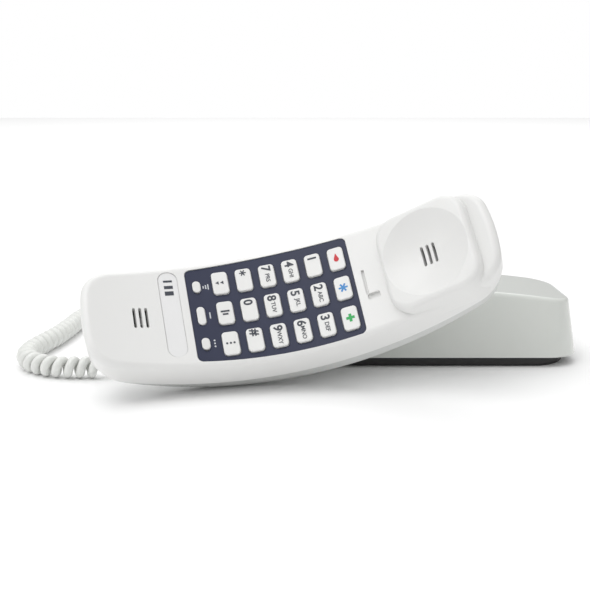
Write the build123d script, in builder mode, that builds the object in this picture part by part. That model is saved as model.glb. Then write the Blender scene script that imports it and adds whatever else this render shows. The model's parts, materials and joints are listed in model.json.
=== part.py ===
from build123d import *
from math import asin, atan, cos, degrees, pi, radians, sin, sqrt, tan
import os

os.makedirs("parts", exist_ok=True)

# ---------------------------------------------------------------- driving dimensions (mm)
# base, lying on the table: X along it, Y towards its far side, Z up, origin under its middle
base_length = 210.0
base_width = 71.0
base_corner = 18.0
base_draft = 8.5                # lean of the cover's walls from vertical, degrees
plinth_height = 5.5             # black underside that shows below the cover
plinth_inset_x = 6.0
plinth_inset_y = 2.8
cover_wall = 2.5
end_height = 35.0               # cover's crown above the table at its two ends
crown_radius = 690.0            # long arch of the cover's crown
well_floor = 25.0               # cups that take the handset's ear block and mouth end
well_corner = 10.0
well_flare = 10.0               # wider at the top than at the floor
ear_well = (34.0, 52.0, 47.0)   # middle in X, length, width
mouth_well = (-36.0, 46.0, 44.0)

# wall plate studs sit on the telephone industry's 3 9/32 inch spacing
stud_spacing = 83.3
keyhole_entry = 9.0
keyhole_slot = 4.6
keyhole_run = 9.0

# handset: x from the mouth end to the ear end, y across, z out of its face
handset_place = (-56.2, -69.4, 44.2)   # middle of the keypad, on the face
handset_climb = 11.44           # the long axis climbs towards the ear end, degrees
handset_turn = 3.4              # and turns away from the base's long side
handset_lean = 37.9             # the face looks up this far from level
handset_length = 205.0
handset_shift = 4.5             # middle of the length, from the middle of the keypad
rear_centre = 3.0               # deepest place of the back's arch
arch_radius = 164.0             # hollow arch of the face
rear_radius = 148.5             # rounder arch of the back
front_depth = 16.0              # face to parting line
middle_depth = 32.5             # face to back at the middle of the keypad
face_draft = 9.0
half_width = 32.0               # at the parting line
half_width_ends = 31.2
shell_wall = 2.6
lip_step = 0.8                  # the rear shell stands this far inside the front shell
seam_height = 0.6               # shadow groove along the parting line, in the rear shell's rim
seam_depth = 1.2
rear_round = 8.5

# keypad
key_pitch_x = 12.0
key_pitch_y = 16.8
key_shift_y = -0.8
key_length = 8.0
key_width = 12.4
key_gap = 0.3
key_rise = 0.9                  # above the face
key_travel = 1.2
panel_drop = 0.6                # the panel's surface lies below the face
panel_thick = 1.3
ledge = 1.1
membrane_thick = 1.0

# ear block and dish
ear_at = 74.0
ear_block = (50.0, 52.5)
ear_block_corner = 13.0
ear_block_height = 6.8
ear_block_foot = 3.2            # wider below the face
ear_block_taper = 3.0           # and narrower at its top
ear_block_round = 2.8
dish_radius = 22.2
dish_depth = 5.8
slot_length = 10.8
slot_width = 1.5
slot_pitch = 3.05

# curly cord
wire_diameter = 4.8
coil_diameter = 11.6
coil_pitch = 6.3


# ---------------------------------------------------------------- planes of the handset
along = Vector(1, 0, 0).rotate(Axis.Y, -handset_climb).rotate(Axis.Z, handset_turn)
facing = along.cross(Vector(0, 0, 1)).rotate(Axis((0, 0, 0), along), -handset_lean)
deck = Plane(origin=handset_place, x_dir=along, z_dir=facing)
side = Plane(origin=deck.origin, x_dir=deck.x_dir, z_dir=-deck.y_dir)
deck_up = Axis(deck.origin, deck.z_dir)


def arch_height(x):
    """height of the face's arch above the middle of the keypad"""
    return arch_radius - sqrt(arch_radius**2 - x**2)


def rear_height(x):
    return rear_radius - middle_depth - sqrt(rear_radius**2 - (x - rear_centre) ** 2)


def tangent_plane(x, height, outward=1):
    """plane that touches an arch of the handset at x, looking out of the face or the back"""
    radius, centre = (arch_radius, 0) if outward > 0 else (rear_radius, rear_centre)
    tilt = asin((x - centre) / radius)
    normal = (deck.z_dir * cos(tilt) - deck.x_dir * sin(tilt)) * outward
    return Plane(origin=deck.from_local_coords((x, 0, height)), x_dir=deck.y_dir.cross(normal) * outward, z_dir=normal)


ear = tangent_plane(ear_at, arch_height(ear_at))
mouth_at = -70.2
mouth = tangent_plane(mouth_at, arch_height(mouth_at))
jack_at = -54.0
jack = tangent_plane(jack_at, rear_height(jack_at), outward=-1)

far = 120.0                     # beyond either end of the handset


def arch_band(upper, lower):
    """everything between two copies of the face's arch, dropped by upper and by lower"""
    with BuildPart() as band:
        with BuildSketch(side):
            with BuildLine():
                ThreePointArc((-far, arch_height(far) - upper), (0, -upper), (far, arch_height(far) - upper))
                Line((far, arch_height(far) - upper), (far, arch_height(far) - lower))
                ThreePointArc((far, arch_height(far) - lower), (0, -lower), (-far, arch_height(far) - lower))
                Line((-far, arch_height(far) - lower), (-far, arch_height(far) - upper))
            make_face()
        extrude(amount=45, both=True)
    return band.part


def rear_band(inset):
    """everything between the parting line and the back, thinned by inset at the back"""
    reach = 113.0                   # beyond either end of the handset
    left, right = rear_centre - reach, rear_centre + reach
    radius = rear_radius - inset
    low = rear_radius - middle_depth
    with BuildPart() as band:
        with BuildSketch(side):
            with BuildLine():
                ThreePointArc((left, arch_height(left) - front_depth), (0, -front_depth),
                              (right, arch_height(right) - front_depth))
                Line((right, arch_height(right) - front_depth), (right, low - sqrt(radius**2 - reach**2)))
                ThreePointArc((right, low - sqrt(radius**2 - reach**2)), (rear_centre, low - radius),
                              (left, low - sqrt(radius**2 - reach**2)))
                Line((left, low - sqrt(radius**2 - reach**2)), (left, arch_height(left) - front_depth))
            make_face()
        extrude(amount=45, both=True)
    return band.part


def barrel(half_length, middle, ends, bulge, corner, centre=handset_shift):
    """barrel outline: bowed long sides, bowed ends, round corners"""
    reach = half_length - bulge
    with BuildSketch() as outline:
        with BuildLine():
            ThreePointArc((centre - reach, ends), (centre, middle), (centre + reach, ends))
            ThreePointArc((centre + reach, ends), (centre + half_length, 0), (centre + reach, -ends))
            ThreePointArc((centre + reach, -ends), (centre, -middle), (centre - reach, -ends))
            ThreePointArc((centre - reach, -ends), (centre - half_length, 0), (centre - reach, ends))
        make_face()
        fillet(outline.vertices(), corner)
    return outline.sketch


end_flare = tan(radians(face_draft)) * arch_height(handset_length / 2)
front_half_length = handset_length / 2 + end_flare


def front_form(inset, upper, lower):
    """the front shell's drafted form, inset all round, between two levels of the arch"""
    tall = 62.0
    with BuildPart() as form:
        for rise in (0, tall):
            lean_in = inset + rise * tan(radians(face_draft))
            with BuildSketch(deck.offset(rise - front_depth)):
                add(barrel(front_half_length - lean_in, half_width - lean_in,
                           half_width_ends - lean_in, 3.0, 20 - lean_in))
        loft(ruled=True)
        add(arch_band(upper, lower), mode=Mode.INTERSECT)
    return form.part


def panel_outline(inset):
    """the keypad panel's outline, a little wider towards the ear"""
    mouth_end, ear_end = -47.0 + inset, 36.5 - inset
    mouth_half, middle_half, ear_half = 25.2 - inset, 27.5 - inset, 27.0 - inset
    with BuildSketch() as outline:
        with BuildLine():
            ThreePointArc((mouth_end, mouth_half), (-5, middle_half), (ear_end, ear_half))
            Line((ear_end, ear_half), (ear_end, -ear_half))
            ThreePointArc((ear_end, -ear_half), (-5, -middle_half), (mouth_end, -mouth_half))
            Line((mouth_end, -mouth_half), (mouth_end, mouth_half))
        make_face()
        fillet(outline.vertices(), 3.0)
    return outline.sketch


def key_places():
    for column in range(6):
        for row in range(3):
            yield column, row, (column - 2.5) * key_pitch_x, (1 - row) * key_pitch_y + key_shift_y


mute_place = (-41.9, key_shift_y)
mute_size = (4.0, 9.8)
switch_places = {"ringer_switch": (-41.9, 15.4), "dial_mode_switch": (-41.9, -16.2)}
switch_size = (4.0, 6.2)
switch_throw = 1.5


def prism(outline, upper, lower):
    """a deck outline stood up through the shell, between two levels of the arch"""
    with BuildPart() as column:
        with BuildSketch(deck.offset(-front_depth)):
            add(outline)
        extrude(amount=70)
        add(arch_band(upper, lower), mode=Mode.INTERSECT)
    return column.part


def rounded(place, size, corner):
    """rounded rectangle about a place on the deck"""
    with BuildSketch() as outline:
        with Locations(place):
            RectangleRounded(size[0], size[1], corner)
    return outline.sketch


def grille(plane, depth):
    """three slots side by side, cut down from a plane"""
    with BuildPart() as slots:
        with BuildSketch(plane.offset(-depth)):
            with GridLocations(slot_pitch, 0, 3, 1):
                SlotOverall(slot_length, slot_width, rotation=90)
        extrude(amount=depth + 8)
    return slots.part


def save(part, name):
    part.label = name
    export_step(part, f"parts/{name}.step")


# ---------------------------------------------------------------- handset front shell
panel_floor = panel_drop + panel_thick
plate_place = (-55.4, 1.5)
plate_size = (9.4, 47.0)
plate_drop = 0.9
screw_places = ((-50.0, 23.2), (-50.0, -22.4), (97.0, 0.0))
screw_core = 1.2
screw_hole = 11.0
boss_radius = 3.2

with BuildPart() as ear_boss:
    with BuildSketch(ear.offset(-8)):
        RectangleRounded(ear_block[0] + ear_block_foot, ear_block[1] + ear_block_foot, ear_block_corner)
    with BuildSketch(ear.offset(ear_block_height)):
        RectangleRounded(ear_block[0] - ear_block_taper, ear_block[1] - ear_block_taper, ear_block_corner - 2)
    loft(ruled=True)
    fillet(ear_boss.faces().sort_by(Axis(ear.origin, ear.z_dir))[-1].edges(), ear_block_round)

dish_sphere = (dish_radius**2 + dish_depth**2) / (2 * dish_depth)

with BuildPart() as dish:
    with BuildSketch(Plane(ear.offset(ear_block_height).origin, x_dir=ear.x_dir, z_dir=-ear.y_dir)):
        with Locations((0, dish_sphere - dish_depth)):
            Circle(dish_sphere)
        Rectangle(2 * dish_sphere, 4 * dish_sphere, align=(Align.MAX, Align.CENTER), mode=Mode.SUBTRACT)
    revolve(axis=Axis(ear.origin, ear.z_dir))

with BuildPart() as hanging_notch:
    add(prism(rounded((41.1, -1.0), (1.5, 13.6), 0.5), -5, 1.5))
    add(prism(rounded((43.9, -9.3), (6.2, 3.4), 0.9), -5, 2.0))

with BuildPart() as handset_front_shell:
    add(front_form(0, 0, front_depth))
    skins = handset_front_shell.faces().filter_by(GeomType.CYLINDER).sort_by(SortBy.AREA)[-2:]
    fillet(skins.sort_by(deck_up)[-1].edges(), 3.2)
    add(ear_boss.part)
    add(front_form(shell_wall, shell_wall + 0.4, front_depth + 5), mode=Mode.SUBTRACT)
    for place in screw_places:
        add(prism(rounded(place, (2 * boss_radius, 2 * boss_radius), boss_radius - 0.01), 1.0, front_depth))
    add(dish.part, mode=Mode.SUBTRACT)
    add(prism(panel_outline(0), -6, panel_floor), mode=Mode.SUBTRACT)
    add(prism(panel_outline(ledge), 0, 8), mode=Mode.SUBTRACT)
    add(prism(rounded(plate_place, plate_size, plate_size[0] / 2 - 0.01), -6, plate_drop), mode=Mode.SUBTRACT)
    add(grille(mouth, 7), mode=Mode.SUBTRACT)
    add(grille(ear, 7), mode=Mode.SUBTRACT)
    add(hanging_notch.part, mode=Mode.SUBTRACT)
    for x, y in screw_places:
        with Locations(deck.offset(arch_height(x) - front_depth - 1) * Location((x, y, 0))):
            Cylinder(screw_core, screw_hole, align=(Align.CENTER, Align.CENTER, Align.MIN), mode=Mode.SUBTRACT)
save(handset_front_shell.part, "handset_front_shell")

# ---------------------------------------------------------------- handset rear shell
rear_half = half_width - lip_step
rear_half_ends = half_width_ends - tan(radians(face_draft)) * arch_height(handset_length / 2 - 6) - lip_step


def rear_form(inset):
    with BuildPart() as form:
        with BuildSketch(deck.offset(-50)):
            add(barrel(handset_length / 2 - lip_step - inset, rear_half - inset, rear_half_ends - inset,
                       3.0, 15 - inset))
        extrude(amount=110)
        add(rear_band(inset), mode=Mode.INTERSECT)
    return form.part


jack_body = (12.0, 13.4, 12.0)  # along the handset, across it, deep
plug_body = (6.6, 9.7)
plug_depth = 9.0                # how far a plug goes into its jack
screw_head = 2.9
screw_clear = 1.5

with BuildPart() as screw_tubes:
    for x, y in screw_places:
        with Locations(deck.offset(arch_height(x)) * Location((x, y, 0))):
            Cylinder(screw_head + 1.6, 60, align=(Align.CENTER, Align.CENTER, Align.MAX))
    add(rear_form(0.6), mode=Mode.INTERSECT)

with BuildPart() as seam:
    add(arch_band(front_depth - 1, front_depth + seam_height))
    add(rear_form(seam_depth), mode=Mode.SUBTRACT)

with BuildPart() as handset_rear_shell:
    add(rear_form(0))
    skins = handset_rear_shell.faces().filter_by(GeomType.CYLINDER).sort_by(SortBy.AREA)[-2:]
    fillet(skins.sort_by(deck_up)[0].edges(), rear_round)
    add(rear_form(shell_wall), mode=Mode.SUBTRACT)
    add(screw_tubes.part)
    add(seam.part, mode=Mode.SUBTRACT)
    for x, y in screw_places:
        with Locations(deck.offset(arch_height(x) - front_depth - 30) * Location((x, y, 0))):
            Cylinder(screw_clear, 60, align=(Align.CENTER, Align.CENTER, Align.MIN), mode=Mode.SUBTRACT)
        with Locations(deck.offset(arch_height(x) - front_depth - 5) * Location((x, y, 0))):
            Cylinder(screw_head + 0.3, 60, align=(Align.CENTER, Align.CENTER, Align.MAX), mode=Mode.SUBTRACT)
    with BuildSketch(jack.offset(-shell_wall - 4)):
        Rectangle(jack_body[0], jack_body[1])
    extrude(amount=12, mode=Mode.SUBTRACT)
save(handset_rear_shell.part, "handset_rear_shell")

# ---------------------------------------------------------------- keypad
with BuildPart() as keypad_bezel:
    add(prism(panel_outline(0.15), panel_drop, panel_floor))
    for column, row, x, y in key_places():
        add(prism(rounded((x, y), (key_length + 2 * key_gap, key_width + 2 * key_gap), 2.2), -2, 6),
            mode=Mode.SUBTRACT)
    add(prism(rounded(mute_place, (mute_size[0] + 0.5, mute_size[1] + 0.5), 2.2), -2, 6), mode=Mode.SUBTRACT)
    for place in switch_places.values():
        slot = (switch_size[0] - 1.2, switch_size[1] + 2 * switch_throw - 2.0)
        add(prism(rounded(place, slot, 1.3), -2, 6), mode=Mode.SUBTRACT)
save(keypad_bezel.part, "keypad_bezel")

flange_drop = panel_floor + 0.1
membrane_drop = flange_drop + 1.4 + key_travel
backplate_drop = membrane_drop + membrane_thick

with BuildPart() as keypad_membrane:
    add(prism(panel_outline(2.4), membrane_drop, membrane_drop + membrane_thick))
save(keypad_membrane.part, "keypad_membrane")

with BuildPart() as keypad_backplate:
    add(prism(panel_outline(2.4), backplate_drop, backplate_drop + 1.4))
save(keypad_backplate.part, "keypad_backplate")

column_names = {
    0: ("key_redial", "key_flash", "key_store"),
    1: ("key_star", "key_zero", "key_pound"),
    2: ("key_seven", "key_eight", "key_nine"),
    3: ("key_four", "key_five", "key_six"),
    4: ("key_one", "key_two", "key_three"),
    5: ("key_memory_red", "key_memory_blue", "key_memory_green"),
}

for column, row, x, y in key_places():
    with BuildPart() as key:
        add(prism(rounded((x, y), (key_length, key_width), 1.9), -key_rise, flange_drop + 0.4))
        fillet(key.faces().sort_by(deck_up)[-1].edges(), 0.6)
        add(prism(rounded((x, y), (key_length + 1.2, key_width + 1.0), 2.2), flange_drop, flange_drop + 0.9))
        add(prism(rounded((x, y), (4.0, 6.0), 1.0), flange_drop + 0.5, flange_drop + 1.3))
    save(key.part, column_names[column][row])

with BuildPart() as mute_button:
    add(prism(rounded(mute_place, mute_size, 1.95), -0.5, flange_drop + 0.4))
    fillet(mute_button.faces().sort_by(deck_up)[-1].edges(), 0.5)
    add(prism(rounded(mute_place, (mute_size[0] + 1.0, mute_size[1] + 1.0), 2.2), flange_drop, flange_drop + 0.9))
    add(prism(rounded(mute_place, (2.4, 5.0), 0.8), flange_drop + 0.5, flange_drop + 1.3))
save(mute_button.part, "mute_button")

for name, place in switch_places.items():
    with BuildPart() as switch_knob:
        add(prism(rounded(place, switch_size, 1.95), -0.7, panel_drop - 0.15))
        fillet(switch_knob.faces().sort_by(deck_up)[-1].edges(), 0.5)
        add(prism(rounded(place, (2.2, 3.0), 0.8), 0.2, flange_drop + 0.4))
        add(prism(rounded(place, (4.6, 5.4), 0.8), flange_drop, flange_drop + 0.9))
    save(switch_knob.part, name)

with BuildPart() as nameplate:
    add(prism(rounded(plate_place, (plate_size[0] - 0.4, plate_size[1] - 0.4), plate_size[0] / 2 - 0.21),
              plate_drop - 0.5, plate_drop))
save(nameplate.part, "nameplate")

# ---------------------------------------------------------------- inside the handset
board_height = -15.0
with BuildPart() as handset_circuit_board:
    with BuildSketch(deck.offset(board_height)):
        with Locations((6, 0)):
            RectangleRounded(82, 44, 2)
    extrude(amount=1.6)
    with BuildSketch(deck.offset(board_height)):
        with Locations((-16, 8), (8, -9), (30, 8)):
            Rectangle(12, 9)
    extrude(amount=-3.0)
    with BuildSketch(deck.offset(board_height)):
        with Locations((-20, -12), (-10, -12), (24, -10)):
            Circle(3.2)
    extrude(amount=-6.0)
save(handset_circuit_board.part, "handset_circuit_board")

with BuildPart() as receiver_gasket:
    with BuildSketch(ear.offset(-5.4)):
        Circle(15.5)
        Circle(11.5, mode=Mode.SUBTRACT)
    extrude(amount=1.4)
save(receiver_gasket.part, "receiver_gasket")

with BuildPart() as receiver_capsule:
    with BuildSketch(ear.offset(-5.4)):
        Circle(16)
    extrude(amount=-5)
    with BuildSketch(ear.offset(-10.4)):
        Circle(10.5)
    extrude(amount=-4)
    fillet(receiver_capsule.edges().filter_by(GeomType.CIRCLE), 0.5)
save(receiver_capsule.part, "receiver_capsule")

with BuildPart() as microphone_boot:
    with BuildSketch(mouth.offset(-9.6)):
        Circle(6.8)
    extrude(amount=6.4)
    with BuildSketch(mouth.offset(-9.6)):
        Circle(4.9)
    extrude(amount=5.4, mode=Mode.SUBTRACT)
    with BuildSketch(mouth.offset(-9.6)):
        Circle(2.5)
    extrude(amount=6.4, mode=Mode.SUBTRACT)
save(microphone_boot.part, "microphone_boot")

with BuildPart() as microphone_capsule:
    with BuildSketch(mouth.offset(-10.2)):
        Circle(4.9)
    extrude(amount=6.0)
    fillet(microphone_capsule.edges().sort_by(Axis(mouth.origin, mouth.z_dir))[-1], 0.4)
save(microphone_capsule.part, "microphone_capsule")

ballast_size = (54.0, 24.0, 4.4)
ballast_level = -26.4
with BuildPart() as handset_ballast:
    with BuildSketch(deck.offset(ballast_level)):
        with Locations((rear_centre, 0)):
            RectangleRounded(ballast_size[0], ballast_size[1], 3)
    extrude(amount=ballast_size[2])
save(handset_ballast.part, "handset_ballast")


def socket(plane, size, depth, opening):
    """modular jack: a block set back from a plane, open to it"""
    with BuildPart() as housing:
        with BuildSketch(plane):
            Rectangle(size[0], size[1])
        extrude(amount=-depth)
        with BuildSketch(plane):
            Rectangle(opening[0], opening[1])
        extrude(amount=-(depth - 2.5), mode=Mode.SUBTRACT)
    return housing.part


def plug(plane, size, depth):
    """modular plug pushed into its jack, with its latch tongue and the collar that grips the wire"""
    with BuildPart() as body:
        with BuildSketch(plane.offset(-depth)):
            RectangleRounded(size[0], size[1], 0.4)
        extrude(amount=depth + 1.5)
        with BuildSketch(plane.offset(1.5)):
            RectangleRounded(size[0] - 1.0, size[1] - 3.4, 1.2)
        extrude(amount=2.0)
    return body.part


jack_mouth = jack.offset(-2.2)
save(socket(jack_mouth, (jack_body[0] - 0.2, jack_body[1] - 0.2), jack_body[2],
            (plug_body[0] + 0.5, plug_body[1] + 0.5)), "handset_cord_jack")
save(plug(jack_mouth, plug_body, plug_depth), "handset_cord_plug")

with BuildPart() as handset_screws:
    for x, y in screw_places:
        head_plane = deck.offset(arch_height(x) - front_depth - 5)
        with Locations(head_plane * Location((x, y, 0))):
            Cylinder(screw_head, 2.2, align=(Align.CENTER, Align.CENTER, Align.MAX))
            Cylinder(screw_core, 5 + 8, align=(Align.CENTER, Align.CENTER, Align.MIN))
            with Locations((0, 0, -2.2)):
                Box(3.6, 0.8, 1.6, mode=Mode.SUBTRACT)
                Box(0.8, 3.6, 1.6, mode=Mode.SUBTRACT)
save(handset_screws.part, "handset_screws")

# ---------------------------------------------------------------- base
half_length = base_length / 2


def crown(x, drop=0.0):
    """height of the cover's top at x"""
    return end_height + sqrt(crown_radius**2 - x**2) - sqrt(crown_radius**2 - half_length**2) - drop


def base_outline(inset):
    with BuildSketch() as outline:
        RectangleRounded(base_length - 2 * inset, base_width - 2 * inset, base_corner - inset * 0.6)
    return outline.sketch


def cover_form(inset):
    """the cover's drafted block under its long crown, inset all round"""
    tall = 45.0
    lean_in = tall * tan(radians(base_draft))
    with BuildPart() as form:
        with BuildSketch(Plane.XY.offset(plinth_height)):
            add(base_outline(inset))
        with BuildSketch(Plane.XY.offset(plinth_height + tall)):
            add(base_outline(inset + lean_in))
        loft(ruled=True)
        with BuildSketch(Plane.XZ):
            with BuildLine():
                ThreePointArc((-half_length, crown(half_length, inset)), (0, crown(0, inset)),
                              (half_length, crown(half_length, inset)))
                Polyline((half_length, crown(half_length, inset)), (half_length, 0), (-half_length, 0),
                         (-half_length, crown(half_length, inset)))
            make_face()
        extrude(amount=base_width, both=True, mode=Mode.INTERSECT)
    return form.part


def well(place, grow, floor):
    middle, length, width = place
    with BuildPart() as cup:
        with BuildSketch(Plane.XY.offset(floor)):
            with Locations((middle, 0)):
                RectangleRounded(length - well_flare / 2 + 2 * grow, width - well_flare / 2 + 2 * grow, well_corner - 2)
        with BuildSketch(Plane.XY.offset(60)):
            with Locations((middle, 0)):
                RectangleRounded(length + well_flare / 2 + 2 * grow, width + well_flare / 2 + 2 * grow, well_corner + 2)
        loft(ruled=True)
    return cup.part


wells = ((ear_well, well_floor - 3), (mouth_well, well_floor + 3))
plunger_at = (-2.6, 0.0)
plunger_size = (4.6, 9.0)
plunger_travel = 3.5
plunger_rise = 4.0
base_jack = (13.2, 11.8, 15.0)
base_jack_window = (13.4, 12.0)
foot_grid = (150.0, 48.0)
foot_radius = 5.0
foot_height = 0.9
foot_play = 0.2
sounder_at = 78.0
back_jack = Plane(origin=(-78, base_width / 2 - 1.2, 17.5), x_dir=(-1, 0, 0), z_dir=(0, 1, 0))
line_jack_plane = Plane(origin=(-half_length + 1.6, 6, 16.5), x_dir=(0, 1, 0), z_dir=(-1, 0, 0))
base_screw_places = ((-92, 20), (-92, -20), (92, 20), (92, -20))
hook_at = 4.0                   # wall hook stands between the plunger and the ear well
hook_size = (2.4, 11.0)
hook_travel = 8.0

with BuildPart() as hollow:
    add(cover_form(cover_wall))
    for place, floor in wells:
        add(well(place, cover_wall, floor - cover_wall), mode=Mode.SUBTRACT)

with BuildPart() as base_cover:
    add(cover_form(0))
    crown_face = base_cover.faces().filter_by(GeomType.CYLINDER).sort_by(SortBy.AREA)[-1]
    fillet(crown_face.edges(), 2.6)
    for place, floor in wells:
        add(well(place, 0, floor), mode=Mode.SUBTRACT)
    add(hollow.part, mode=Mode.SUBTRACT)
    with Locations((plunger_at[0], plunger_at[1], 45)):
        Box(plunger_size[0] + 0.5, plunger_size[1] + 0.5, 20, mode=Mode.SUBTRACT)
    with Locations((hook_at, 0, 45)):
        Box(hook_size[0] + 0.3, hook_size[1] + 0.3, 20, mode=Mode.SUBTRACT)
    for x, y in base_screw_places:
        with Locations((x, y, plinth_height)):
            Cylinder(3.4, 29, align=(Align.CENTER, Align.CENTER, Align.MIN))
            Cylinder(1.2, 18, align=(Align.CENTER, Align.CENTER, Align.MIN), mode=Mode.SUBTRACT)
    with BuildSketch(back_jack):
        Rectangle(base_jack_window[0], base_jack_window[1])
    extrude(amount=8, both=True, mode=Mode.SUBTRACT)
    with BuildSketch(line_jack_plane):
        Rectangle(base_jack_window[0], base_jack_window[1])
    extrude(amount=8, both=True, mode=Mode.SUBTRACT)
save(base_cover.part, "base_cover")

with BuildPart() as base_plate:
    with BuildSketch():
        RectangleRounded(base_length - 2 * plinth_inset_x, base_width - 2 * plinth_inset_y, base_corner + 2)
    extrude(amount=plinth_height)
    fillet(base_plate.edges().group_by(Axis.Z)[0], 1.2)
    with BuildSketch(Plane.XY.offset(2.2)):
        RectangleRounded(base_length - 2 * plinth_inset_x - 5, base_width - 2 * plinth_inset_y - 5, base_corner)
    extrude(amount=10, mode=Mode.SUBTRACT)
    for x, y in base_screw_places:
        with Locations((x, y, 0)):
            Cylinder(4.6, plinth_height, align=(Align.CENTER, Align.CENTER, Align.MIN))
            Cylinder(1.6, plinth_height, align=(Align.CENTER, Align.CENTER, Align.MIN), mode=Mode.SUBTRACT)
            Cylinder(3.3, 3.0, align=(Align.CENTER, Align.CENTER, Align.MIN), mode=Mode.SUBTRACT)
    with BuildSketch():
        for x in (-stud_spacing / 2, stud_spacing / 2):
            with Locations((x - keyhole_run / 2, 0)):
                Circle(keyhole_entry / 2)
            with Locations((x, 0)):
                SlotCenterToCenter(keyhole_run, keyhole_slot)
        with Locations((-88, 0), (88, 0)):
            SlotOverall(16, 3)
    extrude(amount=plinth_height, mode=Mode.SUBTRACT)
    with BuildSketch():
        with GridLocations(foot_grid[0], foot_grid[1], 2, 2):
            Circle(foot_radius + foot_play)
    extrude(amount=foot_height, mode=Mode.SUBTRACT)
save(base_plate.part, "base_plate")

with BuildPart() as rubber_feet:
    with BuildSketch():
        with GridLocations(foot_grid[0], foot_grid[1], 2, 2):
            Circle(foot_radius)
    extrude(amount=foot_height)
save(rubber_feet.part, "rubber_feet")

with BuildPart() as base_screws:
    for x, y in base_screw_places:
        with Locations((x, y, 3.0)):
            Cylinder(3.0, 2.0, align=(Align.CENTER, Align.CENTER, Align.MAX))
            Cylinder(1.2, 14, align=(Align.CENTER, Align.CENTER, Align.MIN))
            with Locations((0, 0, -1.6)):
                Box(4.0, 0.8, 1.4, mode=Mode.SUBTRACT)
                Box(0.8, 4.0, 1.4, mode=Mode.SUBTRACT)
save(base_screws.part, "base_screws")

board_level = 8.0
with BuildPart() as base_circuit_board:
    with BuildSketch(Plane.XY.offset(board_level)):
        with Locations((-16, 0)):
            RectangleRounded(104, 46, 2)
    extrude(amount=1.6)
    with BuildSketch(Plane.XY.offset(board_level + 1.6)):
        with Locations((-58, -12), (-52, 10), (26, 12)):
            Rectangle(9, 6)
    extrude(amount=3)
    with BuildSketch(Plane.XY.offset(board_level + 1.6)):
        with Locations((-34, -18), (-18, 17), (24, -16)):
            Circle(3.0)
    extrude(amount=6)
save(base_circuit_board.part, "base_circuit_board")

with BuildPart() as ringer_sounder:
    with BuildSketch(Plane.XY.offset(plinth_height + 1)):
        with Locations((sounder_at, 0)):
            Circle(14)
    extrude(amount=2)
    with BuildSketch(Plane.XY.offset(plinth_height + 3)):
        with Locations((sounder_at, 0)):
            Circle(12.5)
    extrude(amount=5.5)
    with BuildSketch(Plane.XY.offset(plinth_height + 8.5)):
        with Locations((sounder_at, 0)):
            Circle(2)
    extrude(amount=-2, mode=Mode.SUBTRACT)
save(ringer_sounder.part, "ringer_sounder")

with BuildPart() as base_weight:
    with BuildSketch(Plane.XY.offset(2.3)):
        RectangleRounded(60, 40, 3)
    extrude(amount=4.5)
    with BuildSketch(Plane.XY.offset(2.3)):
        with Locations((-stud_spacing / 2, 0), (stud_spacing / 2, 0)):
            RectangleRounded(24, 13, 3)
    extrude(amount=4.5, mode=Mode.SUBTRACT)
save(base_weight.part, "base_weight")

plunger_top = crown(plunger_at[0]) + plunger_rise
flange_top = crown(plunger_at[0], cover_wall) - 0.1
spring_seat = 18.0
with BuildPart() as hook_plunger:
    with BuildSketch(Plane.XY.offset(flange_top - 3)):
        with Locations(plunger_at):
            RectangleRounded(plunger_size[0], plunger_size[1], 1.2)
    extrude(amount=plunger_top - flange_top + 3)
    fillet(hook_plunger.faces().sort_by(Axis.Z)[-1].edges(), 1.0)
    with BuildSketch(Plane.XY.offset(flange_top)):
        with Locations(plunger_at):
            Rectangle(plunger_size[0] + 2.4, plunger_size[1] + 3)
    extrude(amount=-2)
    with BuildSketch(Plane.XY.offset(flange_top - 2)):
        with Locations(plunger_at):
            Circle(1.9)
    extrude(amount=-9)
save(hook_plunger.part, "hook_plunger")

spring_top = flange_top - 3.1
spring_radius = 2.7
with BuildPart() as hook_spring:
    with BuildLine(Plane((plunger_at[0], plunger_at[1], spring_seat + 0.3))) as turns:
        Helix((spring_top - spring_seat - 0.7) / 6, spring_top - spring_seat - 0.7, spring_radius)
    with BuildSketch(Plane(turns.line @ 0, z_dir=turns.line % 0)):
        Circle(0.3)
    sweep(path=turns.line, is_frenet=True)
save(hook_spring.part, "hook_spring")

with BuildPart() as hook_switch:
    with BuildSketch(Plane.XY.offset(board_level + 1.6)):
        with Locations(plunger_at):
            RectangleRounded(7, 16, 0.6)
    extrude(amount=spring_seat - board_level - 1.6)
    with BuildSketch(Plane.XY.offset(spring_seat)):
        with Locations(plunger_at):
            Circle(2.2)
    extrude(amount=-6.5, mode=Mode.SUBTRACT)
save(hook_switch.part, "hook_switch")

save(socket(back_jack, base_jack[:2], base_jack[2], (plug_body[1] + 0.5, plug_body[0] + 0.5)), "base_cord_jack")
save(plug(back_jack, (plug_body[1], plug_body[0]), plug_depth), "base_cord_plug")
save(socket(line_jack_plane, base_jack[:2], base_jack[2], (9.9, 6.9)), "line_jack")

# the tab that holds the handset's notch when the phone hangs on a wall
with BuildPart() as wall_hook:
    with BuildSketch(Plane.XY.offset(crown(hook_at) - 9.0)):
        with Locations((hook_at, 0)):
            RectangleRounded(hook_size[0], hook_size[1], 0.6)
    extrude(amount=9.0 + 4.5)
    fillet(wall_hook.faces().sort_by(Axis.Z)[-1].edges(), 0.5)
save(wall_hook.part, "wall_hook")

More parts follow.
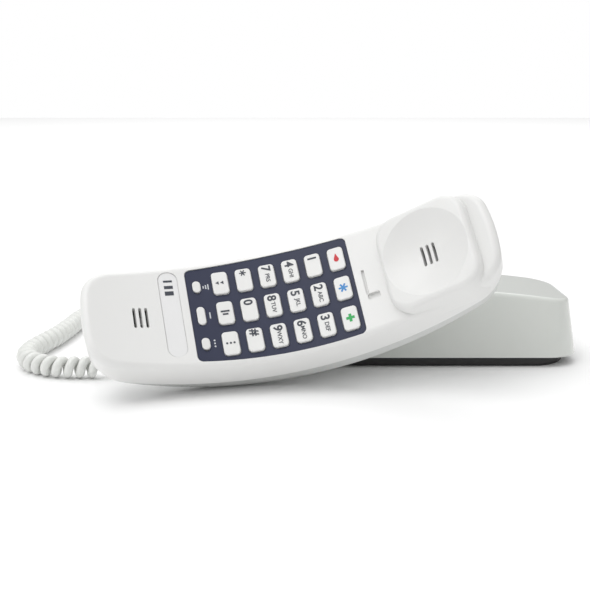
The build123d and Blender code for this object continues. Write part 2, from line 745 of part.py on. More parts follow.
# ---------------------------------------------------------------- curly cord
# from the jack in the base's far side, round the base's end and up to the jack in the handset's back
base_lead_route = [
    (-78, 37.8, 17.5), (-78, 46, 17.5), (-78.1, 54.5, 15.2), (-78.4, 62.5, 11.4),
    (-79, 70.5, 8.0), (-80, 78, 6.4), (-81.4, 85, 6.2),
]
coil_route = [
    (-81.4, 85, 6.2), (-84.2, 99, 5.8), (-97, 113, 6.0), (-117, 119.5, 6.0), (-140, 115, 6.0),
    (-162, 102.5, 6.0), (-177, 82, 6.0), (-184, 59, 6.0), (-186, 36, 6.0), (-187, 14, 6.0),
    (-192, -7, 6.0), (-196, -26, 6.0), (-191, -44, 6.0), (-176, -55, 6.0), (-158, -55, 6.0),
]
handset_lead_route = [
    (-158, -55, 6.0), (-149.5, -55, 6.0), (-140.9, -50.3, 6.0), (-130.7, -46.3, 5.1),
    (-122.0, -45.0, 6.9), (-114.96, -46.0, 10.57), (-110.0, -49.84, 15.53), (-107.852, -54.821, 19.949),
]
print("handset plug end", jack_mouth.offset(3.5).origin, "out", jack_mouth.z_dir)
print("base plug end", back_jack.offset(3.5).origin)


def tube(route, diameter, name):
    """round cord along straight runs joined by the largest arcs that they allow"""
    points = [Vector(*point) for point in route]
    runs = [b - a for a, b in zip(points, points[1:])]
    bends = []
    for before, after in zip(runs, runs[1:]):
        half_turn = radians(before.get_angle(after)) / 2
        bends.append(0.45 * min(before.length, after.length) / tan(half_turn))
    with BuildPart() as cord:
        with BuildLine() as path:
            FilletPolyline(*points, radius=bends)
        middle = path.wires()[0]
        with BuildSketch(Plane(middle @ 0, z_dir=middle % 0)):
            Circle(diameter / 2)
        sweep(path=middle)
    stated = middle.length * pi * diameter**2 / 4
    print(name, "length", round(middle.length, 1), "radii", [round(bend, 1) for bend in bends],
          "volume over section times length", round(cord.part.volume / stated, 4))
    save(cord.part, name)


tube(base_lead_route, wire_diameter, "cord_lead_base")
tube(coil_route, coil_diameter, "cord_coil")
tube(handset_lead_route, wire_diameter, "cord_lead_handset")
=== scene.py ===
import json
import math

import bpy
from mathutils import Matrix, Vector


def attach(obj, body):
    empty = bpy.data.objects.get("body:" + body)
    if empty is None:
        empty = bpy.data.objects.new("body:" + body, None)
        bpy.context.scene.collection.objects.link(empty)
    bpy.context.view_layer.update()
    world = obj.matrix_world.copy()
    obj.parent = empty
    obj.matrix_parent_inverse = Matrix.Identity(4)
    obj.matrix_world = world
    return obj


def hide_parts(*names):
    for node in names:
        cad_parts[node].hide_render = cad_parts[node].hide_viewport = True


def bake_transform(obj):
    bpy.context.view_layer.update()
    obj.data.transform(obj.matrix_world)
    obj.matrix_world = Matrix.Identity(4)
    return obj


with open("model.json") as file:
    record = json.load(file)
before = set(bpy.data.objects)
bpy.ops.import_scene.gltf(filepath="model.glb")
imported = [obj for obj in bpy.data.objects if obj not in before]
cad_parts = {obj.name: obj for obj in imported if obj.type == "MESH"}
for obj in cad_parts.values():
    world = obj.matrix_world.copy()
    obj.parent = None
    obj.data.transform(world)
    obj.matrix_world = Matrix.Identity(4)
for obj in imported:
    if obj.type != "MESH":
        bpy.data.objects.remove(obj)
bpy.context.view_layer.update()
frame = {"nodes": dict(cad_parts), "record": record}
nodes = frame["nodes"]
print("frame loaded:", len(nodes), "nodes")

# the handset's own axes: x towards the ear end, y across, z out of its face
deck = {
    "origin": Vector((-0.0562, -0.0694, 0.0442)),
    "x": Vector((0.9784, 0.0581, 0.1983)),
    "y": Vector((-0.1927, 0.6039, 0.7734)),
    "z": Vector((-0.0748, -0.7949, 0.6021)),
    "archRadius": 0.164,
}


def onDeck(x, y, rise):  # a point over the handset's arched face, in metres
    arch = deck["archRadius"] - math.sqrt(deck["archRadius"] ** 2 - x * x)
    return deck["origin"] + deck["x"] * x + deck["y"] * y + deck["z"] * (arch + rise)


def clearSelection():
    bpy.ops.object.select_all(action="DESELECT")


def placeInMesh(piece):  # puts the object's place into its vertices
    clearSelection()
    piece.select_set(True)
    bpy.context.view_layer.objects.active = piece
    bpy.ops.object.transform_apply(location=True, rotation=True, scale=True)


# ---- camera
view = {"place": (-0.051, -0.562, 0.1523), "down": 12.0, "lens": 61.3, "sensor": 36.0}
cameraData = bpy.data.cameras.new("camera")
cameraData.lens = view["lens"]
cameraData.sensor_width = view["sensor"]
camera = bpy.data.objects.new("camera", cameraData)
camera.location = view["place"]
camera.rotation_euler = (math.radians(90 - view["down"]), 0, 0)
bpy.context.collection.objects.link(camera)
bpy.context.scene.camera = camera

# ---- materials
mixSockets = {"first": 6, "second": 7, "result": 2}  # colour sockets of a mix node


def groupNode(group, kind, x, y, **values):
    node = group.nodes.new(kind)
    node.location = (x, y)
    for name, value in values.items():
        setattr(node, name, value)
    return node


def buildMouldedSkin():
    group = bpy.data.node_groups.new("mouldedSkin", "ShaderNodeTree")
    sockets = group.interface
    sockets.new_socket(name="Vector", in_out="INPUT", socket_type="NodeSocketVector")
    defaults = {"Grain Scale": 900.0, "Smudge Scale": 22.0, "Rough Low": 0.25, "Rough High": 0.4}
    for name, default in defaults.items():
        sockets.new_socket(name=name, in_out="INPUT", socket_type="NodeSocketFloat").default_value = default
    for name in ("Colour", "Tint"):
        sockets.new_socket(name=name, in_out="INPUT", socket_type="NodeSocketColor")
    sockets.new_socket(name="Colour", in_out="OUTPUT", socket_type="NodeSocketColor")
    sockets.new_socket(name="Roughness", in_out="OUTPUT", socket_type="NodeSocketFloat")
    sockets.new_socket(name="Height", in_out="OUTPUT", socket_type="NodeSocketFloat")
    entry = groupNode(group, "NodeGroupInput", -900, 0)
    leave = groupNode(group, "NodeGroupOutput", 500, 0)
    grain = groupNode(group, "ShaderNodeTexNoise", -600, 200)
    grain.inputs["Detail"].default_value = 3.0
    smudge = groupNode(group, "ShaderNodeTexNoise", -600, -100)
    smudge.inputs["Detail"].default_value = 5.0
    smudge.inputs["Roughness"].default_value = 0.62
    link = group.links.new
    link(entry.outputs["Vector"], grain.inputs["Vector"])
    link(entry.outputs["Grain Scale"], grain.inputs["Scale"])
    link(entry.outputs["Vector"], smudge.inputs["Vector"])
    link(entry.outputs["Smudge Scale"], smudge.inputs["Scale"])
    spread = groupNode(group, "ShaderNodeMapRange", -350, -100)
    spread.inputs["From Min"].default_value = 0.2
    spread.inputs["From Max"].default_value = 0.8
    link(smudge.outputs["Fac"], spread.inputs["Value"])
    rough = groupNode(group, "ShaderNodeMapRange", 0, -100)
    link(spread.outputs["Result"], rough.inputs["Value"])
    link(entry.outputs["Rough Low"], rough.inputs["To Min"])
    link(entry.outputs["Rough High"], rough.inputs["To Max"])
    mix = groupNode(group, "ShaderNodeMix", 0, 200, data_type="RGBA")
    link(spread.outputs["Result"], mix.inputs["Factor"])
    link(entry.outputs["Colour"], mix.inputs[mixSockets["first"]])
    link(entry.outputs["Tint"], mix.inputs[mixSockets["second"]])
    link(mix.outputs[mixSockets["result"]], leave.inputs["Colour"])
    link(rough.outputs["Result"], leave.inputs["Roughness"])
    link(grain.outputs["Fac"], leave.inputs["Height"])
    return group


def buildBrushedMetal():
    group = bpy.data.node_groups.new("brushedMetal", "ShaderNodeTree")
    sockets = group.interface
    sockets.new_socket(name="Vector", in_out="INPUT", socket_type="NodeSocketVector")
    sockets.new_socket(name="Line Scale", in_out="INPUT", socket_type="NodeSocketFloat").default_value = 400.0
    sockets.new_socket(name="Bright", in_out="INPUT", socket_type="NodeSocketColor")
    sockets.new_socket(name="Dull", in_out="INPUT", socket_type="NodeSocketColor")
    sockets.new_socket(name="Colour", in_out="OUTPUT", socket_type="NodeSocketColor")
    sockets.new_socket(name="Roughness", in_out="OUTPUT", socket_type="NodeSocketFloat")
    sockets.new_socket(name="Height", in_out="OUTPUT", socket_type="NodeSocketFloat")
    entry = groupNode(group, "NodeGroupInput", -900, 0)
    leave = groupNode(group, "NodeGroupOutput", 400, 0)
    stretch = groupNode(group, "ShaderNodeVectorMath", -700, 100, operation="MULTIPLY")
    stretch.inputs[1].default_value = (0.06, 1.0, 1.0)
    lines = groupNode(group, "ShaderNodeTexNoise", -500, 100)
    lines.inputs["Detail"].default_value = 4.0
    mix = groupNode(group, "ShaderNodeMix", -100, 150, data_type="RGBA")
    rough = groupNode(group, "ShaderNodeMapRange", -100, -150)
    rough.inputs["To Min"].default_value = 0.28
    rough.inputs["To Max"].default_value = 0.5
    link = group.links.new
    link(entry.outputs["Vector"], stretch.inputs[0])
    link(stretch.outputs["Vector"], lines.inputs["Vector"])
    link(entry.outputs["Line Scale"], lines.inputs["Scale"])
    link(lines.outputs["Fac"], mix.inputs["Factor"])
    link(entry.outputs["Bright"], mix.inputs[mixSockets["first"]])
    link(entry.outputs["Dull"], mix.inputs[mixSockets["second"]])
    link(lines.outputs["Fac"], rough.inputs["Value"])
    link(mix.outputs[mixSockets["result"]], leave.inputs["Colour"])
    link(rough.outputs["Result"], leave.inputs["Roughness"])
    link(lines.outputs["Fac"], leave.inputs["Height"])
    return group


mouldedSkin = buildMouldedSkin()
brushedMetal = buildBrushedMetal()


def rgba(colour):
    return (colour[0], colour[1], colour[2], 1.0)


def startMaterial(name):
    material = bpy.data.materials.new(name)
    material.use_nodes = True
    tree = material.node_tree
    shader = tree.nodes["Principled BSDF"]
    coords = tree.nodes.new("ShaderNodeTexCoord")
    coords.location = (-900, 0)
    mapping = tree.nodes.new("ShaderNodeMapping")
    mapping.location = (-720, 0)
    tree.links.new(coords.outputs["Object"], mapping.inputs["Vector"])
    return material, tree, shader, mapping


def mouldedPlastic(name, look):
    material, tree, shader, mapping = startMaterial(name)
    skin = tree.nodes.new("ShaderNodeGroup")
    skin.node_tree = mouldedSkin
    skin.location = (-500, 0)
    skin.inputs["Colour"].default_value = rgba(look["colour"])
    skin.inputs["Tint"].default_value = rgba(look["tint"])
    skin.inputs["Grain Scale"].default_value = look.get("grainScale", 900.0)
    skin.inputs["Smudge Scale"].default_value = look.get("smudgeScale", 22.0)
    skin.inputs["Rough Low"].default_value = look["rough"][0]
    skin.inputs["Rough High"].default_value = look["rough"][1]
    bump = tree.nodes.new("ShaderNodeBump")
    bump.location = (-220, -250)
    bump.inputs["Strength"].default_value = look.get("bump", 0.1)
    bump.inputs["Distance"].default_value = look.get("bumpDepth", 0.00008)
    tree.links.new(mapping.outputs["Vector"], skin.inputs["Vector"])
    tree.links.new(skin.outputs["Colour"], shader.inputs["Base Color"])
    tree.links.new(skin.outputs["Roughness"], shader.inputs["Roughness"])
    tree.links.new(skin.outputs["Height"], bump.inputs["Height"])
    tree.links.new(bump.outputs["Normal"], shader.inputs["Normal"])
    shader.inputs["IOR"].default_value = look.get("ior", 1.5)
    shader.inputs["Coat Weight"].default_value = look.get("coat", 0.0)
    shader.inputs["Coat Roughness"].default_value = look.get("coatRough", 0.08)
    shader.inputs["Transmission Weight"].default_value = look.get("clear", 0.0)
    return material


def brushedPart(name, look):
    material, tree, shader, mapping = startMaterial(name)
    metal = tree.nodes.new("ShaderNodeGroup")
    metal.node_tree = brushedMetal
    metal.location = (-500, 0)
    metal.inputs["Line Scale"].default_value = look["lineScale"]
    metal.inputs["Bright"].default_value = rgba(look["bright"])
    metal.inputs["Dull"].default_value = rgba(look["dull"])
    bump = tree.nodes.new("ShaderNodeBump")
    bump.location = (-220, -250)
    bump.inputs["Strength"].default_value = 0.15
    bump.inputs["Distance"].default_value = 0.00005
    tree.links.new(mapping.outputs["Vector"], metal.inputs["Vector"])
    tree.links.new(metal.outputs["Colour"], shader.inputs["Base Color"])
    tree.links.new(metal.outputs["Roughness"], shader.inputs["Roughness"])
    tree.links.new(metal.outputs["Height"], bump.inputs["Height"])
    tree.links.new(bump.outputs["Normal"], shader.inputs["Normal"])
    shader.inputs["Metallic"].default_value = 1.0
    return material


plasticLooks = {
    "baseGloss": {"colour": (0.70, 0.72, 0.69), "tint": (0.67, 0.69, 0.655),
        "rough": (0.16, 0.24), "coat": 0.35, "bump": 0.05},
    "plinthBlack": {"colour": (0.012, 0.012, 0.013), "tint": (0.02, 0.02, 0.02),
        "rough": (0.4, 0.55), "bump": 0.3},
    "faceWhite": {"colour": (0.79, 0.79, 0.78), "tint": (0.775, 0.775, 0.762),
        "rough": (0.27, 0.36), "bump": 0.12},
    # painted shade: the rear shell is the same white plastic as the face, given a darker grey colour for the
    # shade it sits in
    "backShadedWhite": {"colour": (0.64, 0.65, 0.64), "tint": (0.61, 0.62, 0.605),
        "rough": (0.3, 0.4), "bump": 0.15},
    "panelSlate": {"colour": (0.024, 0.029, 0.062), "tint": (0.03, 0.036, 0.072),
        "rough": (0.42, 0.52), "bump": 0.25, "ior": 1.4},
    "keyWhite": {"colour": (0.79, 0.79, 0.78), "tint": (0.765, 0.765, 0.75),
        "rough": (0.3, 0.42), "bump": 0.12, "smudgeScale": 60.0},
    "switchWhite": {"colour": (0.77, 0.77, 0.76), "tint": (0.745, 0.745, 0.73),
        "rough": (0.3, 0.42), "bump": 0.12},
    "plateWhite": {"colour": (0.80, 0.80, 0.80), "tint": (0.77, 0.77, 0.77),
        "rough": (0.18, 0.26), "coat": 0.5, "bump": 0.05},
    "plungerWhite": {"colour": (0.72, 0.735, 0.70), "tint": (0.68, 0.69, 0.66),
        "rough": (0.28, 0.4), "bump": 0.12},
    "socketBlack": {"colour": (0.02, 0.02, 0.022), "tint": (0.03, 0.03, 0.032),
        "rough": (0.45, 0.6), "bump": 0.3},
    "plugClear": {"colour": (0.80, 0.82, 0.84), "tint": (0.76, 0.79, 0.82),
        "rough": (0.08, 0.16), "clear": 0.7, "bump": 0.02},
    "cordWhite": {"colour": (0.78, 0.79, 0.77), "tint": (0.74, 0.75, 0.72),
        "rough": (0.28, 0.4), "coat": 0.2, "bump": 0.1, "smudgeScale": 45.0},
    "rubberBlack": {"colour": (0.018, 0.018, 0.019), "tint": (0.03, 0.03, 0.03),
        "rough": (0.6, 0.8), "bump": 0.5, "grainScale": 500.0},
    "membraneGrey": {"colour": (0.30, 0.31, 0.33), "tint": (0.26, 0.27, 0.29),
        "rough": (0.5, 0.7), "bump": 0.3},
    "printDark": {"colour": (0.035, 0.042, 0.06), "tint": (0.05, 0.055, 0.07),
        "rough": (0.4, 0.5), "bump": 0.05},
    "printPale": {"colour": (0.62, 0.64, 0.67), "tint": (0.55, 0.57, 0.6),
        "rough": (0.4, 0.5), "bump": 0.05},
    "printRed": {"colour": (0.62, 0.02, 0.03), "tint": (0.52, 0.02, 0.03),
        "rough": (0.4, 0.5), "bump": 0.05},
    "printBlue": {"colour": (0.05, 0.27, 0.62), "tint": (0.05, 0.22, 0.52),
        "rough": (0.4, 0.5), "bump": 0.05},
    "printGreen": {"colour": (0.03, 0.42, 0.10), "tint": (0.03, 0.34, 0.09),
        "rough": (0.4, 0.5), "bump": 0.05},
    "boardGreen": {"colour": (0.02, 0.16, 0.06), "tint": (0.03, 0.22, 0.08),
        "rough": (0.3, 0.5), "bump": 0.2, "smudgeScale": 120.0},
    "ironGrey": {"colour": (0.10, 0.10, 0.105), "tint": (0.15, 0.145, 0.14),
        "rough": (0.5, 0.75), "bump": 0.8, "grainScale": 350.0},
}
metalLooks = {
    "screwSteel": {"bright": (0.62, 0.62, 0.63), "dull": (0.45, 0.45, 0.46), "lineScale": 700.0},
    "capsuleAluminium": {"bright": (0.72, 0.72, 0.73), "dull": (0.55, 0.55, 0.56), "lineScale": 900.0},
}
finishes = {name: mouldedPlastic(name, look) for name, look in plasticLooks.items()}
finishes.update({name: brushedPart(name, look) for name, look in metalLooks.items()})

finishOfSlot = {
    "base_plastic": "baseGloss", "plinth_black": "plinthBlack", "handset_front": "faceWhite",
    "handset_rear": "backShadedWhite", "keypad_panel": "panelSlate", "key_plastic": "keyWhite",
    "switch_plastic": "switchWhite", "nameplate_plastic": "plateWhite", "plunger_plastic": "plungerWhite",
    "socket_black": "socketBlack", "plug_clear": "plugClear", "cord_jacket": "cordWhite",
    "board": "boardGreen", "steel": "screwSteel", "iron": "ironGrey", "capsule_metal": "capsuleAluminium",
    "black_rubber": "rubberBlack", "membrane_rubber": "membraneGrey",
}
slotOfNode = {part["node"]: part["material_slot"] for part in frame["record"]["subparts"]}
for nodeName, nodeObject in nodes.items():
    finish = finishes[finishOfSlot[slotOfNode[nodeName]]]
    if not nodeObject.material_slots:
        nodeObject.data.materials.append(finish)
    for materialSlot in nodeObject.material_slots:
        materialSlot.material = finish
print("materials on the frame:", len(finishes))

# ---- curly cord
cord = {
    "thickness": 0.0048,  # the wire
    "turnRadius": 0.0034,  # middle of the wire, from the coil's line
    "pitch": 0.0063,
    "ease": 0.007,  # over which the coil opens and closes
    "sides": 10,
    "stepsPerTurn": 22,
    "slowSway": 0.035,  # turns are not all alike
    "slowRate": 0.13,
    "quickSway": 0.02,
    "quickRate": 0.31,
    "drift": 0.5,
    "driftRate": 60,
    "spacing": 0.0007,  # the straight leads need fewer points
    "lastGap": 0.0005,
    "baseLead": [
        (-0.078, 0.0378, 0.0175), (-0.078, 0.046, 0.0175), (-0.0781, 0.0545, 0.0152), (-0.0784, 0.0625, 0.0114),
        (-0.079, 0.0705, 0.008), (-0.080, 0.078, 0.0064), (-0.0814, 0.085, 0.0062),
    ],
    "coil": [
        (-0.0842, 0.099, 0.0058), (-0.097, 0.113, 0.006), (-0.117, 0.1195, 0.006), (-0.140, 0.115, 0.006),
        (-0.162, 0.1025, 0.006), (-0.178, 0.082, 0.006), (-0.186, 0.059, 0.006), (-0.188, 0.036, 0.006),
        (-0.190, 0.014, 0.006), (-0.195, -0.007, 0.006), (-0.199, -0.026, 0.006), (-0.194, -0.044, 0.006),
        (-0.177, -0.0555, 0.006), (-0.158, -0.055, 0.006), (-0.1495, -0.055, 0.006),
    ],
    "handsetLead": [
        (-0.1409, -0.0503, 0.006), (-0.1307, -0.0463, 0.0051),
        (-0.122, -0.045, 0.0069), (-0.11496, -0.046, 0.01057), (-0.110, -0.04984, 0.01553),
        (-0.107852, -0.054821, 0.019949),
    ],
}


def routeLine(points):  # closely read points of a smooth line through the route
    curve = bpy.data.curves.new("routeLine", "CURVE")
    curve.dimensions = "3D"
    spline = curve.splines.new("NURBS")
    spline.points.add(len(points) - 1)
    for place, point in zip(spline.points, points):
        place.co = (point[0], point[1], point[2], 1.0)
    spline.order_u = 3
    spline.use_endpoint_u = True
    curve.resolution_u = 24
    guide = bpy.data.objects.new("routeLine", curve)
    mesh = bpy.data.meshes.new_from_object(guide)
    line = [vertex.co.copy() for vertex in mesh.vertices]
    bpy.data.objects.remove(guide)
    bpy.data.meshes.remove(mesh)
    return line


def smoothStep(value):
    value = min(max(value, 0.0), 1.0)
    return value * value * (3 - 2 * value)


def coiledLine():
    line = routeLine(cord["baseLead"] + cord["coil"] + cord["handsetLead"])
    travelled = [0.0]
    for a, b in zip(line, line[1:]):
        travelled.append(travelled[-1] + (b - a).length)
    coilStart = min(range(len(line)), key=lambda i: (line[i] - Vector(cord["baseLead"][-1])).length)
    coilEnd = min(range(len(line)), key=lambda i: (line[i] - Vector(cord["coil"][-1])).length)
    begin, finish = travelled[coilStart], travelled[coilEnd]
    step = cord["pitch"] / cord["stepsPerTurn"]
    count = int(travelled[-1] / step)
    points, index = [], 0
    for number in range(count + 1):
        distance = number * travelled[-1] / count
        while index < len(line) - 2 and travelled[index + 1] < distance:
            index += 1
        part = (distance - travelled[index]) / (travelled[index + 1] - travelled[index])
        middle = line[index].lerp(line[index + 1], part)
        ahead = (line[min(index + 3, len(line) - 1)] - line[max(index - 2, 0)]).normalized()
        sideways = ahead.cross(Vector((0, 0, 1))).normalized()
        upward = sideways.cross(ahead)
        opening = smoothStep((distance - begin) / cord["ease"])
        opening *= smoothStep((finish - distance) / cord["ease"])
        turn = 2 * math.pi * (distance - begin) / cord["pitch"]
        inCoil = begin < distance < finish
        reach = cord["turnRadius"] * opening if inCoil else 0.0
        slow = cord["slowSway"] * math.sin(turn * cord["slowRate"])
        quick = cord["quickSway"] * math.sin(turn * cord["quickRate"] + 1)
        wander = 1 + slow + quick
        turn += cord["drift"] * math.sin(distance * cord["driftRate"])
        outward = sideways * math.cos(turn) + upward * math.sin(turn)
        points.append(middle + outward * reach * min(wander, 1.0))
    spaced = [points[0]]
    for point in points[1:]:
        if (point - spaced[-1]).length > cord["spacing"]:
            spaced.append(point)
    while (points[-1] - spaced[-1]).length < cord["lastGap"]:
        spaced.pop()
    return spaced + [points[-1]]


def tubeAlong(name, points, radius, sides):
    rings, faces = [], []
    ahead = (points[1] - points[0]).normalized()
    side = ahead.cross(Vector((0, 0, 1))).normalized()
    for index, point in enumerate(points):
        nextAhead = (points[min(index + 1, len(points) - 1)] - points[max(index - 1, 0)]).normalized()
        side = (side - nextAhead * side.dot(nextAhead)).normalized()
        up = nextAhead.cross(side)
        for corner in range(sides):
            angle = 2 * math.pi * corner / sides
            rings.append(point + (side * math.cos(angle) + up * math.sin(angle)) * radius)
    for index in range(len(points) - 1):
        for corner in range(sides):
            a = index * sides + corner
            b = index * sides + (corner + 1) % sides
            faces.append((a, b, b + sides, a + sides))
    faces.append(tuple(reversed(range(sides))))
    faces.append(tuple(range(len(rings) - sides, len(rings))))
    mesh = bpy.data.meshes.new(name)
    mesh.from_pydata(rings, [], faces)
    tube = bpy.data.objects.new(name, mesh)
    bpy.context.collection.objects.link(tube)
    for polygon in mesh.polygons:
        polygon.use_smooth = True
    return tube


cordPath = coiledLine()
curlyCord = tubeAlong("curly_cord", cordPath, cord["thickness"] / 2, cord["sides"])
curlyCord.data.materials.append(finishes["cordWhite"])
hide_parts("cord_lead_base", "cord_coil", "cord_lead_handset")
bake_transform(curlyCord)

# ---- legends: raised print on the keys
legend = {
    "thick": 0.00004,
    "lift": 0.00002,
    "keyTop": 0.0009,
    "digitSize": 0.0062,
    "digitAt": 0.0037,
    "digitWeight": 0.00016,
    "starReach": 0.0034,
    "starStroke": 0.0006,
    "letterSize": 0.0030,
    "letterAt": -0.0014,
    "letterShift": 0.0002,
    "letterWeight": 0.00004,
    "middleColumn": 2.5,
    "pitchX": 0.012,
    "pitchY": 0.0168,
    "shiftY": -0.0008,
}
letterGroups = {
    "two": "ABC", "three": "DEF", "four": "GHI", "five": "JKL",
    "six": "MNO", "seven": "PRS", "eight": "TUV", "nine": "WXY",
}
digitKeys = {
    "one": ("1", 4, 0), "two": ("2", 4, 1), "three": ("3", 4, 2), "four": ("4", 3, 0), "five": ("5", 3, 1),
    "six": ("6", 3, 2), "seven": ("7", 2, 0), "eight": ("8", 2, 1), "nine": ("9", 2, 2),
    "star": ("*", 1, 0), "zero": ("0", 1, 1), "pound": ("#", 1, 2),
}


def keyPlace(column, row):
    x = (column - legend["middleColumn"]) * legend["pitchX"]
    return x, (1 - row) * legend["pitchY"] + legend["shiftY"]


def layOnDeck(piece, x, y, rise):  # bends a flat shape drawn about the origin onto the arched face
    for vertex in piece.data.vertices:
        vertex.co = onDeck(x + vertex.co.x, y + vertex.co.y, rise + vertex.co.z)


def printedText(words, size, offset=(0.0, 0.0), weight=0.0):  # its top points to the ear end
    clearSelection()
    bpy.ops.object.text_add(location=(0, 0, 0))
    text = bpy.context.active_object
    text.data.body = words
    text.data.size = size
    text.data.align_x = "CENTER"
    text.data.align_y = "CENTER"
    text.data.offset = weight
    text.data.extrude = legend["thick"]
    text.data.resolution_u = 3
    bpy.ops.object.convert(target="MESH")
    piece = bpy.context.active_object
    corners = [vertex.co for vertex in piece.data.vertices]
    middleX = (min(c.x for c in corners) + max(c.x for c in corners)) / 2
    middleY = (min(c.y for c in corners) + max(c.y for c in corners)) / 2
    for vertex in piece.data.vertices:
        across, upward = vertex.co.x - middleX, vertex.co.y - middleY
        vertex.co.x = upward + offset[0]
        vertex.co.y = -across + offset[1]
    return piece


def printedBar(width, height, offset=(0.0, 0.0), corners=4, turn=0.0):
    clearSelection()
    depth = 2 * legend["thick"]
    bpy.ops.mesh.primitive_cylinder_add(vertices=corners, radius=1.0, depth=depth, location=(0, 0, 0))
    bar = bpy.context.active_object
    reach = 1.0 / math.cos(math.pi / corners) if corners == 4 else 1.0
    swing = Matrix.Rotation(math.pi / 4 if corners == 4 else turn, 3, "Z")
    for vertex in bar.data.vertices:
        spot = swing @ vertex.co
        vertex.co = (spot.x * reach * width / 2 + offset[0], spot.y * reach * height / 2 + offset[1], spot.z)
    return bar


def printedStar(reach, stroke, arms, offset=(0.0, 0.0)):  # bars through one centre
    bars = []
    for arm in range(arms):
        bar = printedBar(reach, stroke)
        swing = Matrix.Rotation(math.pi * arm / arms, 3, "Z")
        for vertex in bar.data.vertices:
            spot = swing @ vertex.co
            vertex.co = (spot.x + offset[0], spot.y + offset[1], spot.z)
        bars.append(bar)
    return bars


def joinPieces(pieces, name):
    clearSelection()
    for piece in pieces:
        piece.select_set(True)
    bpy.context.view_layer.objects.active = pieces[0]
    if len(pieces) > 1:
        bpy.ops.object.join()
    joined = bpy.context.active_object
    joined.name = name
    return joined


def finishPrint(pieces, name, x, y, rise, finish, body):
    joined = joinPieces(pieces, name)
    layOnDeck(joined, x, y, rise + legend["lift"] + legend["thick"])
    joined.data.materials.clear()
    joined.data.materials.append(finishes[finish])
    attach(joined, body)
    return joined


for name, (digit, column, row) in digitKeys.items():
    x, y = keyPlace(column, row)
    if digit == "*":
        pieces = printedStar(legend["starReach"], legend["starStroke"], 3, (0.0, legend["digitAt"]))
    else:
        pieces = [printedText(digit, legend["digitSize"], (0.0, legend["digitAt"]), legend["digitWeight"])]
    if name in letterGroups:
        lettersAt = (legend["letterShift"], legend["letterAt"])
        pieces.append(printedText(letterGroups[name], legend["letterSize"], lettersAt, legend["letterWeight"]))
    finishPrint(pieces, "legend_" + name, x, y, legend["keyTop"], "printDark", "key_" + name)

# generic marks of the other keys
keyMarks = {
    "triangle": 0.0022,
    "triangleAt": 0.0012,
    "barLong": 0.0044,
    "barShort": 0.0028,
    "barThick": 0.0009,
    "barLongAt": 0.0007,
    "barShortAt": -0.0009,
    "dot": 0.0011,
    "dotStep": 0.0018,
    "dotSides": 12,
    "dropRound": 0.0026,
    "dropRoundAt": -0.0005,
    "dropSides": 20,
    "dropTip": (0.0024, 0.0034),
    "dropTipAt": 0.0012,
    "starReach": 0.0046,
    "starStroke": 0.0009,
    "crossReach": 0.0042,
    "crossStroke": 0.0014,
}


def keyPrint(name, column, row, pieces, finish):
    x, y = keyPlace(column, row)
    finishPrint(pieces, "legend_" + name, x, y, legend["keyTop"], finish, "key_" + name)


width, place = keyMarks["triangle"], keyMarks["triangleAt"]
triangles = [printedBar(width, width, (side * place, 0), 3, math.pi / 2) for side in (-1, 1)]
keyPrint("redial", 0, 0, triangles, "printDark")
bars = [
    printedBar(keyMarks["barLong"], keyMarks["barThick"], (0, keyMarks["barLongAt"])),
    printedBar(keyMarks["barShort"], keyMarks["barThick"], (0, keyMarks["barShortAt"])),
]
keyPrint("flash", 0, 1, bars, "printDark")
width, gap = keyMarks["dot"], keyMarks["dotStep"]
dots = [printedBar(width, width, (step * gap, 0), keyMarks["dotSides"]) for step in (-1, 0, 1)]
keyPrint("store", 0, 2, dots, "printDark")
width = keyMarks["dropRound"]
drop = [
    printedBar(width, width, (0, keyMarks["dropRoundAt"]), keyMarks["dropSides"]),
    printedBar(keyMarks["dropTip"][0], keyMarks["dropTip"][1], (0, keyMarks["dropTipAt"]), 3, 0),
]
keyPrint("memory_red", 5, 0, drop, "printRed")
keyPrint("memory_blue", 5, 1, printedStar(keyMarks["starReach"], keyMarks["starStroke"], 3), "printBlue")
cross = [
    printedBar(keyMarks["crossReach"], keyMarks["crossStroke"]),
    printedBar(keyMarks["crossStroke"], keyMarks["crossReach"]),
]
keyPrint("memory_green", 5, 2, cross, "printGreen")

# generic marks on the panel and on the nameplate
panelMarks = {
    "panelTop": -0.0006,
    "plateTop": -0.0004,
    "stroke": 0.0006,
    "ringerAt": (-0.0375, 0.0152),
    "ringerStep": 0.0012,
    "ringerLow": 0.0014,
    "ringerGrow": 0.0008,
    "muteAt": (-0.0377, -0.0008),
    "muteLong": 0.0034,
    "dialAt": (-0.0377, -0.0162),
    "dialDot": 0.0009,
    "dialStep": 0.0016,
    "plateAt": (-0.0554, 0.0165),
    "plateWide": 0.0042,
    "plateThin": 0.0011,
    "plateGrow": 0.0006,
    "plateStep": 0.0034,
}


def panelPrint(name, place, rise, pieces, finish):
    finishPrint(pieces, "mark_" + name, place[0], place[1], rise, finish, "handset")


pieces = []
for step in range(3):
    tall = panelMarks["ringerLow"] + panelMarks["ringerGrow"] * step
    pieces.append(printedBar(panelMarks["stroke"], tall, (panelMarks["ringerStep"] * (step - 1), 0)))
panelPrint("ringer", panelMarks["ringerAt"], panelMarks["panelTop"], pieces, "printPale")
pieces = [printedBar(panelMarks["stroke"], panelMarks["muteLong"])]
panelPrint("mute", panelMarks["muteAt"], panelMarks["panelTop"], pieces, "printPale")
width, gap = panelMarks["dialDot"], panelMarks["dialStep"]
pieces = [printedBar(width, width, (0, step * gap), keyMarks["dotSides"]) for step in (-1, 0, 1)]
panelPrint("dial_mode", panelMarks["dialAt"], panelMarks["panelTop"], pieces, "printPale")
pieces = []
for step in range(3):
    thin = panelMarks["plateThin"] + panelMarks["plateGrow"] * step
    pieces.append(printedBar(panelMarks["plateWide"], thin, (0.0, panelMarks["plateStep"] * (1 - step))))
panelPrint("nameplate", panelMarks["plateAt"], panelMarks["plateTop"], pieces, "printDark")
print("legends printed")

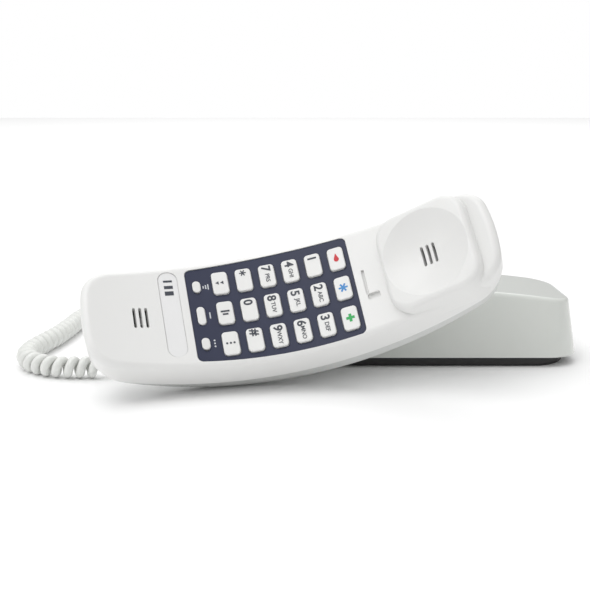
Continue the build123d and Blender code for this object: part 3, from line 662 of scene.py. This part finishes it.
# ---- floor and light
floorLook = {"size": 6.0, "at": (0, 0.8, 0), "colour": (0.96, 0.96, 0.96), "rough": 0.9}
clearSelection()
bpy.ops.mesh.primitive_plane_add(size=floorLook["size"], location=floorLook["at"])
floor = bpy.context.active_object
floor.name = "floor"
placeInMesh(floor)
floorMaterial = bpy.data.materials.new("floorPale")
floorMaterial.use_nodes = True
floorShader = floorMaterial.node_tree.nodes["Principled BSDF"]
floorShader.inputs["Base Color"].default_value = rgba(floorLook["colour"])
floorShader.inputs["Roughness"].default_value = floorLook["rough"]
floor.data.materials.append(floorMaterial)

studio = {"horizon": 0.36, "zenith": 1.0}
world = bpy.data.worlds.new("studio")
bpy.context.scene.world = world
world.use_nodes = True
tree = world.node_tree
background = tree.nodes["Background"]
background.inputs["Color"].default_value = (1.0, 1.0, 1.0, 1.0)
skyCoords = tree.nodes.new("ShaderNodeTexCoord")
skyHeight = tree.nodes.new("ShaderNodeSeparateXYZ")
skyFade = tree.nodes.new("ShaderNodeMapRange")
skyFade.inputs["To Min"].default_value = studio["horizon"]
skyFade.inputs["To Max"].default_value = studio["zenith"]
lightPath = tree.nodes.new("ShaderNodeLightPath")
skySeen = tree.nodes.new("ShaderNodeMix")  # float sockets: 0 factor, 2 light, 3 seen
skySeen.inputs[3].default_value = 1.0
tree.links.new(skyCoords.outputs["Generated"], skyHeight.inputs["Vector"])
tree.links.new(skyHeight.outputs["Z"], skyFade.inputs["Value"])
tree.links.new(skyFade.outputs["Result"], skySeen.inputs[2])
tree.links.new(lightPath.outputs["Is Camera Ray"], skySeen.inputs[0])
tree.links.new(skySeen.outputs[0], background.inputs["Strength"])

aimAt = (-0.05, -0.04, 0.04)
lights = {
    "overhead": {"place": (-0.45, -0.35, 1.1), "size": 0.8, "power": 4.2},
    "left": {"place": (-1.0, -0.5, 0.5), "size": 0.5, "power": 0.8},
    "farFloor": {"place": (0.0, 2.2, 2.2), "size": 2.6, "power": 26.0, "aim": (0.0, 2.2, 0.0)},
}
for name, values in lights.items():
    lamp = bpy.data.lights.new(name, "AREA")
    lamp.shape = "SQUARE"
    lamp.size = values["size"]
    lamp.energy = values["power"]
    lampObject = bpy.data.objects.new(name, lamp)
    lampObject.location = values["place"]
    aim = Vector(values.get("aim", aimAt)) - Vector(values["place"])
    lampObject.rotation_euler = aim.to_track_quat("-Z", "Y").to_euler()
    bpy.context.collection.objects.link(lampObject)
bpy.context.scene.view_settings.view_transform = "Standard"
print("floor and lights set")
